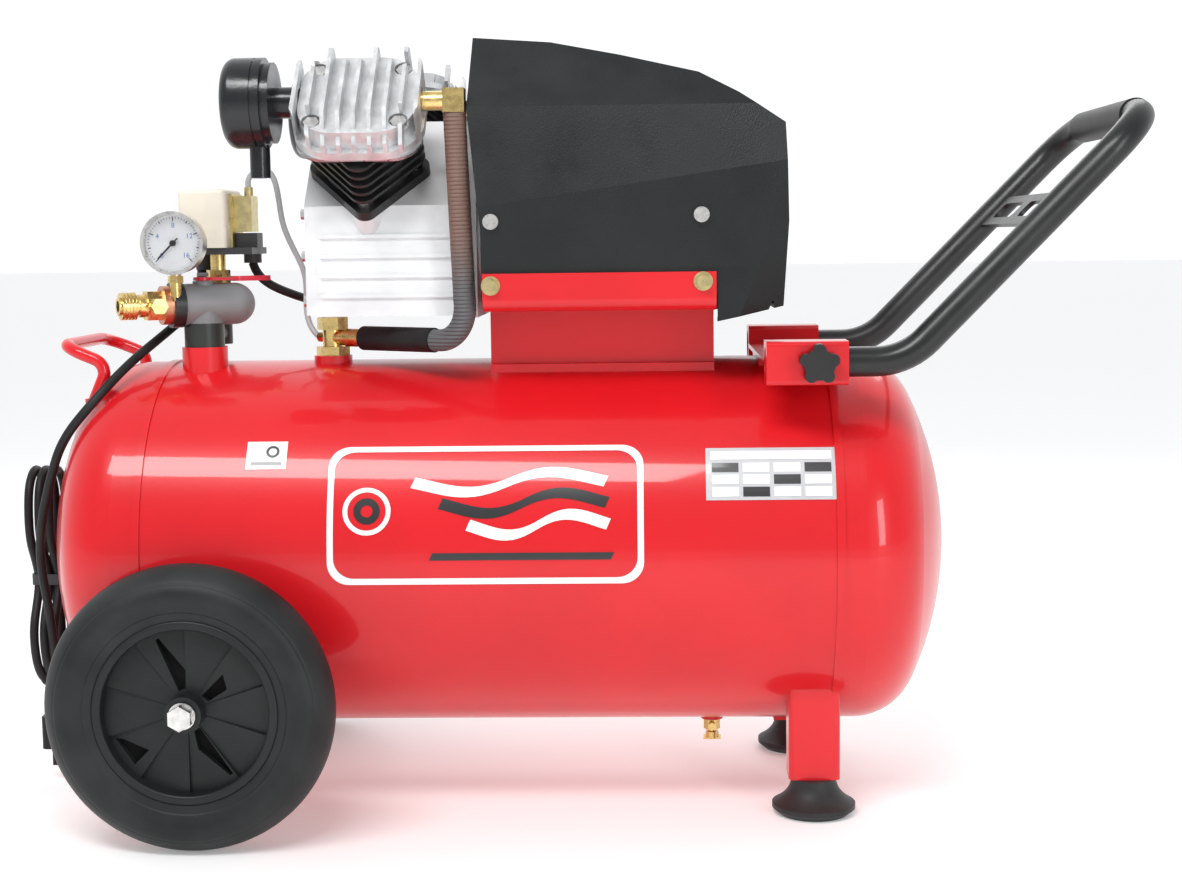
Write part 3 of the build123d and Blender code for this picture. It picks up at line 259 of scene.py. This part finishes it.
def painted_casting(name, color):
    """Casting under silver-white paint: bright, slightly rough and faintly metallic."""
    mat = material(name, color, 0.36, metallic=0.25)
    vary_color(mat, tuple(c * 0.88 for c in color), color, 26.0, 5.0)
    vary_roughness(mat, 0.3, 0.5, 60.0)
    return grain(mat, 320, 0.00012, 5.0)


def machined_metal(name, color, rough=0.25, stretch=(1, 1, 1)):
    mat = material(name, color, rough, metallic=1.0)
    vary_color(mat, tuple(c * 0.8 for c in color), color, 120.0, 3.0, stretch)
    vary_roughness(mat, rough - 0.08, rough + 0.12, 160.0, stretch)
    return grain(mat, 900, 0.00005, 2.0, stretch)


def radius_from_axis(tree, x, z):
    """Distance from a wheel's axis, for concentric rings on a sidewall."""
    source = tree.nodes.new("ShaderNodeTexCoord")
    shift = tree.nodes.new("ShaderNodeVectorMath")
    shift.operation = "SUBTRACT"
    shift.inputs[1].default_value = (x, 0, z)
    flat = tree.nodes.new("ShaderNodeVectorMath")
    flat.operation = "MULTIPLY"
    flat.inputs[1].default_value = (1, 0, 1)
    length = tree.nodes.new("ShaderNodeVectorMath")
    length.operation = "LENGTH"
    tree.links.new(source.outputs["Object"], shift.inputs[0])
    tree.links.new(shift.outputs[0], flat.inputs[0])
    tree.links.new(flat.outputs[0], length.inputs[0])
    return length.outputs["Value"]


def tyre_material():
    """Matte rubber with moulded rings near the bead and at the shoulder."""
    mat = rubber("tyre_rubber", (0.016, 0.018, 0.0185))
    tree, _ = nodes_of(mat)
    ramp = tree.nodes.new("ShaderNodeValToRGB")
    ramp.color_ramp.interpolation = "EASE"
    stops = [(0.0, 0.5), (0.46, 0.5), (0.48, 0.9), (0.51, 0.5), (0.78, 0.5), (0.8, 0.3), (0.82, 0.5)]
    points = ramp.color_ramp.elements
    points[0].position, points[0].color = stops[0][0], (stops[0][1],) * 3 + (1,)
    points[1].position, points[1].color = stops[-1][0], (stops[-1][1],) * 3 + (1,)
    for position, value in stops[1:-1]:
        points.new(position).color = (value, value, value, 1)
    span = tree.nodes.new("ShaderNodeMapRange")
    span.inputs["From Min"].default_value = 0.05
    span.inputs["From Max"].default_value = 0.12
    tree.links.new(radius_from_axis(tree, WHEEL_X, WHEEL_Z), span.inputs["Value"])
    tree.links.new(span.outputs["Result"], ramp.inputs["Fac"])
    return add_bump(mat, ramp.outputs["Color"], 0.0012)


def hose_material():
    """Ribbed cover, brown above and grey below."""
    mat = material("hose_braid", (0.2, 0.15, 0.13), 0.55)
    tree, shader = nodes_of(mat)
    height = tree.nodes.new("ShaderNodeSeparateXYZ")
    source = tree.nodes.new("ShaderNodeTexCoord")
    tree.links.new(source.outputs["Object"], height.inputs["Vector"])
    span = tree.nodes.new("ShaderNodeMapRange")
    span.inputs["From Min"].default_value = 0.452
    span.inputs["From Max"].default_value = 0.498
    tree.links.new(height.outputs["Z"], span.inputs["Value"])
    ramp = tree.nodes.new("ShaderNodeValToRGB")
    ramp.color_ramp.elements[0].color = (0.11, 0.115, 0.12, 1)
    ramp.color_ramp.elements[1].color = (0.2, 0.12, 0.095, 1)
    tree.links.new(span.outputs["Result"], ramp.inputs["Fac"])
    tree.links.new(ramp.outputs["Color"], shader.inputs["Base Color"])
    waves = tree.nodes.new("ShaderNodeTexWave")
    waves.bands_direction = "Z"
    waves.inputs["Scale"].default_value = 95
    waves.inputs["Distortion"].default_value = 0.4
    tree.links.new(coordinates(tree), waves.inputs["Vector"])
    return add_bump(mat, waves.outputs["Fac"], 0.0011)


def glass_material():
    mat = material("gauge_glass", (1, 1, 1), 0.03)
    _, shader = nodes_of(mat)
    shader.inputs["Transmission Weight"].default_value = 1.0
    shader.inputs["IOR"].default_value = 1.3
    return mat


def dress(mat, *names):
    """Gives CAD nodes their finish."""
    for name in names:
        slots = NODES[name].data.materials
        if not len(slots):
            slots.append(mat)
        for i in range(len(slots)):
            slots[i] = mat


def dress_part(mat, name, belongs):
    """Gives a second finish to the faces of one node whose centres pass the test."""
    mesh = NODES[name].data
    mesh.materials.append(mat)
    for face in mesh.polygons:
        if belongs(face.center):
            face.material_index = len(mesh.materials) - 1


def soften(width, *names):
    """Breaks the sharp corners of pressed and cast pieces."""
    for name in names:
        bevel = NODES[name].modifiers.new("soft_edges", "BEVEL")
        bevel.width = width
        bevel.segments = 2
        bevel.limit_method = "ANGLE"
        bevel.angle_limit = math.radians(40)


def on_nipple(centre):
    """Whether a face of the switch's base is on the brass nipple below it."""
    return (centre.xy - NIPPLE).length < NIPPLE_R and centre.z < SWITCH_Z


RED = (0.66, 0.01, 0.016)
BLACK = (0.012, 0.0125, 0.013)


def dress_all():
    """Gives every CAD node its finish, and returns the cable's for the power cord."""
    red = gloss_paint("red_enamel", RED)
    dress(red, "tank_shell", "tank_heads", "end_handle", "motor_saddle", "chassis_brackets", "handle_bracket")
    dress(gloss_paint("red_vinyl", (0.55, 0.01, 0.03)), "valve_lever")
    dress(satin_paint("black_powder_coat", BLACK), "handle_tube")
    dress(satin_paint("black_cast_iron", (0.016, 0.016, 0.017)), "cylinders")
    dress(rubber("grip_rubber", (0.022, 0.022, 0.023)), "handle_grip")
    dress(rubber("foot_rubber", (0.03, 0.031, 0.032)), "rubber_feet")
    dress(tyre_material(), "tyre_near", "tyre_far")
    hubs = ("wheel_hub_near", "wheel_hub_far")
    dress(moulded_plastic("hub_plastic", (0.014, 0.0155, 0.016), 0.45, 500, 0.3), *hubs)
    # Painted shade: near-black plastic on the pocket floors, darkening the pockets beyond their own shadow
    pocket_shade = moulded_plastic("hub_pocket_painted_shade", (0.004, 0.004, 0.0045), 0.6, 500, 0.15)
    for hub in hubs:
        dress_part(pocket_shade, hub, lambda centre: abs(abs(centre.y) - POCKET_FLOOR_Y) < SKIN)
    knob = moulded_plastic("knob_plastic", (0.012, 0.012, 0.013), 0.35, 500)
    dress(knob, "clamp_knob_near", "clamp_knob_far")
    dress(moulded_plastic("hood_plastic", (0.011, 0.0125, 0.013), 0.4, 600, 0.3), "shroud")
    dress(moulded_plastic("filter_plastic", (0.01, 0.011, 0.013), 0.2, 400), "air_filters")
    dress(moulded_plastic("switch_moulding", (0.03, 0.03, 0.032), 0.45), "switch_base", "motor_electrics")
    dress(moulded_plastic("switch_ivory", (0.72, 0.67, 0.57), 0.38), "switch_cover")
    dress(moulded_plastic("valve_grey", (0.2, 0.205, 0.21), 0.4), "valve_body")
    dress(moulded_plastic("fan_grey", (0.25, 0.26, 0.27), 0.5), "cooling_fan")
    dress(satin_paint("riser_black", (0.02, 0.025, 0.022)), "riser_tee")
    aluminium = cast_metal("cast_aluminium", (0.8, 0.81, 0.82))
    dress(aluminium, "cylinder_heads", "motor_frame", "connecting_rods", "pistons")
    dress(painted_casting("silver_casting", (0.84, 0.85, 0.86)), "crankcase", "crankcase_cover")
    zinc = machined_metal("bright_zinc", (0.78, 0.77, 0.75), 0.28)
    dress(zinc, "axles", "foot_bolts", "pump_bolts", "safety_ring", "gauge_case")
    dress(machined_metal("yellow_zinc", (0.72, 0.6, 0.3), 0.32), "shroud_fasteners", "switch_unloader")
    dress_part(zinc, "shroud_fasteners", lambda centre: centre.z > HOOD_SCREW_Z)
    steel = machined_metal("ground_steel", (0.55, 0.56, 0.58), 0.3)
    dress(steel, "valve_plates", "crankshaft", "shaft_bearings")
    dress(cast_metal("laminated_steel", (0.35, 0.35, 0.36), 0.5), "motor_stator", "motor_rotor")
    brass = machined_metal("turned_brass", (0.83, 0.62, 0.25), 0.24)
    dress(brass, "discharge_elbows", "check_valve", "outlet_coupler", "coupler_sleeve")
    dress(brass, "drain_valve", "drain_screw")
    dress_part(brass, "gauge_case", lambda centre: centre.z < GAUGE.z - GAUGE_RIM)
    dress_part(brass, "switch_base", on_nipple)
    copper = machined_metal("copper", (0.62, 0.3, 0.18), 0.34)
    dress(copper, "crossover_pipe")
    dress(satin_paint("collar_black", BLACK), "outlet_collar")
    dress_part(copper, "outlet_collar", lambda centre: (OUTLET - centre).dot(TRAIN_AXIS) > RING_START)
    dress(hose_material(), "discharge_hose")
    dress(glass_material(), "gauge_lens")
    dress(moulded_plastic("needle_black", (0.02, 0.02, 0.02), 0.4), "gauge_needle")
    dress(moulded_plastic("pale_nylon", (0.42, 0.43, 0.44), 0.3), "unloader_tube")
    cable = rubber("cable_rubber", (0.014, 0.014, 0.015))
    dress(cable, "motor_cable", "plug")
    dress(rubber("sleeve_rubber", (0.012, 0.012, 0.013)), "hose_sleeve")
    soften(0.0012, "shroud", "motor_saddle", "handle_bracket", "chassis_brackets")
    soften(0.0008, "crankcase", "crankcase_cover", "cylinder_heads", "cylinders", "valve_plates")
    soften(0.0008, *hubs, "switch_base")
    soften(0.0004, "axles", "pump_bolts", "discharge_elbows", "check_valve", "outlet_coupler")
    soften(0.0004, "switch_unloader")
    return cable


# ================= pieces added to the frame =================

def mesh_object(name, verts, faces, mat, body=ROOT, smooth=False):
    mesh = bpy.data.meshes.new(name)
    mesh.from_pydata(verts, [], faces)
    mesh.materials.append(mat)
    for poly in mesh.polygons:
        poly.use_smooth = smooth
    obj = bpy.data.objects.new(name, mesh)
    bpy.context.collection.objects.link(obj)
    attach(obj, body)
    return obj


def on_tank(x, s, lift):
    """Point on the tank's near flank: s is the height along the skin from the axis level."""
    angle = s / TANK_R
    radius = TANK_R + lift
    return (x, -radius * math.cos(angle), TANK_Z + radius * math.sin(angle))


def rounded_rectangle(width, height, corner, steps=10):
    """Outline points round a rectangle centred on the origin."""
    points = []
    for quarter, (sx, sy) in enumerate(((1, 1), (-1, 1), (-1, -1), (1, -1))):
        cx, cy = sx * (width / 2 - corner), sy * (height / 2 - corner)
        for i in range(steps + 1):
            angle = math.radians(90 * quarter + 90 * i / steps)
            points.append((cx + corner * math.cos(angle), cy + corner * math.sin(angle)))
    return points


def divide(points, longest):
    """The same closed outline with its long sides split, so that it can bend round the tank."""
    out = []
    for (x0, y0), (x1, y1) in zip(points, points[1:] + points[:1]):
        parts = max(1, math.ceil(math.hypot(x1 - x0, y1 - y0) / longest))
        out += [(x0 + (x1 - x0) * i / parts, y0 + (y1 - y0) * i / parts) for i in range(parts)]
    return out


def frame_decal(name, centre, size, corner, band, mat, lift=SKIN):
    """Rounded frame of even width, laid on the tank's flank."""
    outer = divide(rounded_rectangle(*size, corner), 0.01)
    inner = []
    for x, y in outer:
        sx = (size[0] - 2 * band) / size[0]
        sy = (size[1] - 2 * band) / size[1]
        inner.append((x * sx, y * sy))
    count = len(outer)
    verts = [on_tank(centre[0] + x, centre[1] + y, lift) for x, y in outer + inner]
    faces = [(i, (i + 1) % count, count + (i + 1) % count, count + i) for i in range(count)]
    return mesh_object(name, verts, faces, mat)


def patch_decal(name, centre, size, mat, lift=SKIN, skew=0.0, wave=0.0, columns=24, rows=6):
    """Rectangular or wavy patch, laid on the tank's flank."""
    verts, faces = [], []
    for j in range(rows + 1):
        for i in range(columns + 1):
            fx, fy = i / columns - 0.5, j / rows - 0.5
            rise = wave * math.sin(2 * math.pi * fx) * (1 - abs(fx))
            x = centre[0] + fx * size[0] + skew * fy
            verts.append(on_tank(x, centre[1] + fy * size[1] + rise, lift))
    for j in range(rows):
        for i in range(columns):
            a = j * (columns + 1) + i
            faces.append((a, a + 1, a + columns + 2, a + columns + 1))
    return mesh_object(name, verts, faces, mat)


# Centres along the tank and up its skin, then sizes, in metres.
PANEL, PANEL_SIZE, PANEL_CORNER, PANEL_BAND = (-0.082, 0.046), (0.262, 0.118), 0.018, 0.0052
STREAM_RISES = (0.026, 0.008, -0.01)
STREAM_LENGTH, STREAM_SHORTER, STREAM_WIDTH = 0.16, 0.022, 0.009
EMBLEM = (PANEL[0] - 0.098, PANEL[1] + 0.002)
PLATE, PLATE_SIZE = (0.1545, 0.078), (0.108, 0.046)
CELL_SIZE, CELL_STEP = (0.022, 0.0082), (0.0255, 0.0105)
CELL_ROWS, CELL_COLUMNS = 3, 4
STICKER, STICKER_SIZE = (-0.266, 0.098), (0.034, 0.026)


def decal_material(name, color):
    mat = material(name, color, 0.3, coat=0.5)
    return vary_color(mat, tuple(c * 0.94 for c in color), color, 40.0)


def add_decals():
    """Generic graphics: a framed panel with air-stream waves, a data plate and a small sticker."""
    white = decal_material("decal_white", (0.86, 0.86, 0.86))
    ink = decal_material("decal_ink", (0.02, 0.02, 0.022))
    silver = decal_material("decal_silver", (0.55, 0.56, 0.58))
    frame_decal("panel_frame", PANEL, PANEL_SIZE, PANEL_CORNER, PANEL_BAND, white)
    for i, (mat, rise) in enumerate(zip((white, ink, white), STREAM_RISES)):
        centre = (PANEL[0] + 0.02 + 0.012 * i, PANEL[1] + rise)
        size = (STREAM_LENGTH - STREAM_SHORTER * i, STREAM_WIDTH)
        patch_decal(f"stream_{i}", centre, size, mat, wave=0.011, skew=0.004)
    patch_decal("panel_bar", (PANEL[0] + 0.03, PANEL[1] - 0.036), (0.15, 0.006), ink, skew=0.003)
    frame_decal("emblem_ring", EMBLEM, (0.04, 0.04), 0.0199, 0.004, white)
    frame_decal("emblem_core", EMBLEM, (0.022, 0.022), 0.0109, 0.006, ink)

    patch_decal("data_plate", PLATE, PLATE_SIZE, silver)
    patch_decal("data_head", (PLATE[0], PLATE[1] + 0.016), (0.1, 0.008), white, lift=2 * SKIN)
    for row in range(CELL_ROWS):
        for column in range(CELL_COLUMNS):
            x = PLATE[0] - 0.038 + CELL_STEP[0] * column
            height = PLATE[1] + 0.005 - CELL_STEP[1] * row
            mat = ink if (row + column) % 3 == 0 else white
            name = f"data_cell_{row}_{column}"
            patch_decal(name, (x, height), CELL_SIZE, mat, 2 * SKIN, columns=3, rows=2)
    patch_decal("sticker", STICKER, STICKER_SIZE, white)
    mark = (STICKER[0] + 0.005, STICKER[1] + 0.003)
    frame_decal("sticker_mark", mark, (0.011, 0.011), 0.0054, 0.002, ink, 2 * SKIN)
    patch_decal("sticker_bar", (STICKER[0], STICKER[1] - 0.008), (0.026, 0.003), ink, 2 * SKIN)


def disc(name, centre, radius, y, mat, count=64):
    verts = [(centre.x, y, centre.z)]
    verts += [(centre.x + radius * math.cos(2 * math.pi * i / count), y,
               centre.z + radius * math.sin(2 * math.pi * i / count)) for i in range(count)]
    faces = [(0, 1 + i, 1 + (i + 1) % count) for i in range(count)]
    return mesh_object(name, verts, faces, mat)


DIAL_START, DIAL_SWEEP, DIAL_TICKS = 225, 270, 40
TICK_OUTER, TICK_LONG, TICK_MIDDLE, TICK_SHORT = 0.0228, 0.0188, 0.0203, 0.0213
TICK_HALF, TICK_HALF_FINE = 0.00042, 0.0002
NUMBER_SIZE, NUMBER_R = 0.0062, 0.0152
PRINT_Y = GAUGE_FACE_Y - 0.00015


def on_dial(i, steps):
    """Angle of the mark with this index, of so many over the whole sweep."""
    return math.radians(DIAL_START - DIAL_SWEEP * i / steps)


def add_dial():
    """White face with ticks and plain numbers, zero at the lower left."""
    paper = decal_material("dial_paper", (0.9, 0.92, 0.95))
    ink = decal_material("dial_ink", (0.03, 0.03, 0.05))
    blue = decal_material("dial_blue", (0.1, 0.2, 0.55))
    disc("dial_face", GAUGE, GAUGE_R, GAUGE_FACE_Y, paper)
    verts, faces = [], []
    for i in range(DIAL_TICKS + 1):
        angle = on_dial(i, DIAL_TICKS)
        inner = TICK_LONG if i % 10 == 0 else TICK_MIDDLE if i % 5 == 0 else TICK_SHORT
        half = TICK_HALF if i % 5 == 0 else TICK_HALF_FINE
        radial = Vector((math.cos(angle), 0, math.sin(angle)))
        side = Vector((-math.sin(angle), 0, math.cos(angle))) * half
        start = len(verts)
        for reach, turn in ((inner, -1), (TICK_OUTER, -1), (TICK_OUTER, 1), (inner, 1)):
            point = GAUGE + radial * reach + side * turn
            verts.append((point.x, PRINT_Y, point.z))
        faces.append((start, start + 1, start + 2, start + 3))
    mesh_object("dial_ticks", verts, faces, ink)
    words = ("0", "4", "8", "12", "16")
    for i, word in enumerate(words):
        angle = on_dial(i, len(words) - 1)
        text = bpy.data.curves.new(f"number_{word}", "FONT")
        text.body = word
        text.size = NUMBER_SIZE
        text.align_x, text.align_y = "CENTER", "CENTER"
        holder = bpy.data.objects.new(f"number_curve_{word}", text)
        mesh = bpy.data.meshes.new_from_object(holder)
        bpy.data.objects.remove(holder)
        mesh.materials.append(blue)
        number = bpy.data.objects.new(f"number_{word}", mesh)
        centre = GAUGE + Vector((math.cos(angle), 0, math.sin(angle))) * NUMBER_R
        upright = Matrix.Rotation(math.radians(90), 4, "X")
        mesh.transform(Matrix.Translation((centre.x, PRINT_Y, centre.z)) @ upright)
        bpy.context.collection.objects.link(number)
        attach(number, ROOT)


# ================= power cord =================

# In millimetres, except the boot's and the cord's own sizes, which are in metres.
GLAND = (-352, 30, 470)
CORD_ROUTE = [GLAND, (-356, 16, 438), (-374, -22, 417), (-398, -64, 392), (-421, -96, 362),
              (-450, -100, 328), (-466, -88, 290), (-481, -72, 250), (-491, -48, 212)]
BOOT_LENGTH = 0.026
BOOT_R = 0.0068
BOOT_RING = 0.0004
BOOT_STEPS = 24
BOOT_SIDES = 24
BOOT_TIP_R = CORD_R * 1.12
HANK_X = -498
LAYER = 9.2
WAIST_Z = 190
TOP_Z, BOTTOM_Z = 290, 104
LOBE_Y = 25
WAIST_Y = 4.8
TURNS = 3
TIE_HALF, TIE_SLACK, TIE_CORNER, TIE_INSIDE = 5, 1.6, 5, 0.93


def hank_points():
    """Loops pinched at the waist, side by side, then the tail to the plug."""
    points = [(HANK_X + LAYER, -36, 168), (HANK_X + LAYER, -30, 145)]
    for turn in range(TURNS):
        x = HANK_X + LAYER * (1 - turn)
        side = [(LOBE_Y, 128), (LOBE_Y, 150), (WAIST_Y + 6, 172), (WAIST_Y, WAIST_Z - 5),
                (WAIST_Y, WAIST_Z + 5), (WAIST_Y + 6, 208), (LOBE_Y, 230), (LOBE_Y, 262)]
        if turn == 0:
            points += [(x, -LOBE_Y, 124), (x, -16, 108), (x, 0, BOTTOM_Z - 3), (x, 16, 108)]
        points += [(x, y, z) for y, z in side]
        points += [(x, 18, 282), (x, 0, TOP_Z + 3), (x, -18, 282)]
        points += [(x, -y, z) for y, z in reversed(side)]
        if turn < TURNS - 1:
            low = x - LAYER
            points += [(x, -18, 109), (x - LAYER / 2, 0, BOTTOM_Z - 3), (low, 18, 109)]
    low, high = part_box("plug")
    plug_x, plug_z = (low.x + high.x) / 2 / MM, high.z / MM
    return points + [(HANK_X - LAYER, -17, 108), (HANK_X - 7, -7, 96), (plug_x, 0, 92), (plug_x, 0, plug_z)]


def add_cord(cable):
    """The power cord, from the switch's gland round the tank's end to the hank and its plug."""
    route = CORD_ROUTE + hank_points()
    curve = bpy.data.curves.new("power_cord_line", "CURVE")
    curve.dimensions = "3D"
    curve.resolution_u = 8
    spline = curve.splines.new("NURBS")
    spline.points.add(len(route) - 1)
    for point, (x, y, z) in zip(spline.points, route):
        point.co = (x * MM, y * MM, z * MM, 1)
    spline.order_u = 3
    spline.use_endpoint_u = True
    cord = bpy.data.objects.new("power_cord_line", curve)
    line = [vertex.co.copy() for vertex in bpy.data.meshes.new_from_object(cord).vertices]
    boots = [add_boot("gland_boot", line, cable), add_boot("plug_boot", line[::-1], cable)]
    curve.bevel_depth = CORD_R
    curve.bevel_resolution = 5
    curve.use_fill_caps = True
    curve.materials.append(cable)
    bpy.context.collection.objects.link(cord)
    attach(cord, ROOT)
    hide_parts("power_cord", "cord_hank")
    tie = add_tie()


def point_along(line, distance):
    """Point and direction at a distance along a line of points."""
    for start, end in zip(line, line[1:]):
        step = (end - start).length
        if distance <= step:
            return start + (end - start) * (distance / step), (end - start).normalized()
        distance -= step
    return line[-1], (line[-1] - line[-2]).normalized()


def add_boot(name, line, mat):
    """Tapered, ringed strain relief over the first stretch of the cord."""
    verts, faces = [], []
    for i in range(BOOT_STEPS + 1):
        centre, ahead = point_along(line, BOOT_LENGTH * i / BOOT_STEPS)
        side = ahead.cross(Vector((0, 1, 0))).normalized()
        other = ahead.cross(side)
        ring = BOOT_RING if i % 4 in (1, 2) else 0
        radius = BOOT_R + (BOOT_TIP_R - BOOT_R) * i / BOOT_STEPS + ring
        for j in range(BOOT_SIDES):
            angle = 2 * math.pi * j / BOOT_SIDES
            verts.append(centre + (side * math.cos(angle) + other * math.sin(angle)) * radius)
    for i in range(BOOT_STEPS):
        for j in range(BOOT_SIDES):
            a, b = i * BOOT_SIDES + j, i * BOOT_SIDES + (j + 1) % BOOT_SIDES
            faces.append((a, b, b + BOOT_SIDES, a + BOOT_SIDES))
    faces.append(tuple(reversed(range(BOOT_SIDES))))
    faces.append(tuple(range(BOOT_STEPS * BOOT_SIDES, (BOOT_STEPS + 1) * BOOT_SIDES)))
    return mesh_object(name, verts, faces, mat, smooth=True)


def add_tie():
    """Flat strap round the hank's waist."""
    margin = CORD_R / MM + TIE_SLACK
    outline = rounded_rectangle(2 * (LAYER + margin), 2 * (WAIST_Y + margin), TIE_CORNER)
    count = len(outline)
    verts = []
    for scale in (1.0, TIE_INSIDE):
        for z in (WAIST_Z - TIE_HALF, WAIST_Z + TIE_HALF):
            verts += [((HANK_X + x * scale) * MM, y * scale * MM, z * MM) for x, y in outline]
    faces = []
    for i in range(count):
        j = (i + 1) % count
        faces.append((i, j, count + j, count + i))
        faces.append((2 * count + j, 2 * count + i, 3 * count + i, 3 * count + j))
        faces.append((count + i, count + j, 3 * count + j, 3 * count + i))
        faces.append((j, i, 2 * count + i, 2 * count + j))
    return mesh_object("hank_tie", verts, faces, rubber("tie_strap", (0.05, 0.05, 0.055)))


add_camera()
add_studio()
cable_rubber = dress_all()
add_cord(cable_rubber)
add_decals()
add_dial()
